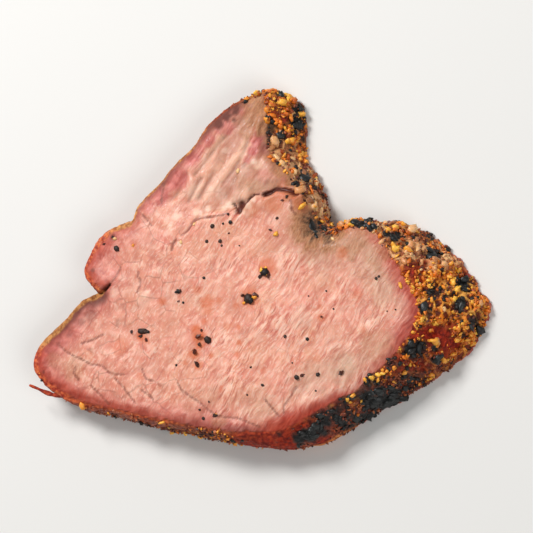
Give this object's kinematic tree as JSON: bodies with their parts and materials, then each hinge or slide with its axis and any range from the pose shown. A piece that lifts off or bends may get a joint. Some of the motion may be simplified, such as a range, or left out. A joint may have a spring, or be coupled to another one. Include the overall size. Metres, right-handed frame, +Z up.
{
  "type": "smoked beef tri-tip slice",
  "caption": "Slice of smoked beef tri-tip, two lobes parted by a seam, flat cut faces and a slanting crusted rim with coarse rub grains.",
  "frame": {"origin": "on the lower cut face that the slice rests on, near its middle", "axes": "+X to the thick crusted end, along the slice's length; +Y to the upper lobe; +Z up, out of the upper cut face"},
  "size_m": [0.1044, 0.0793, 0.012],
  "materials": {
    "meat": "moist cut beef, pink in the middle, with a dark spiced crust round the rim",
    "black_pepper": "coarsely cracked black pepper",
    "garlic_granules": "toasted golden garlic granules",
    "spice_crumb": "red-brown crumbs of the rub",
    "char": "burnt black flakes"
  },
  "bodies": {
    "root": {"tri_tip_slice": "meat"}
  },
  "joints": []
}
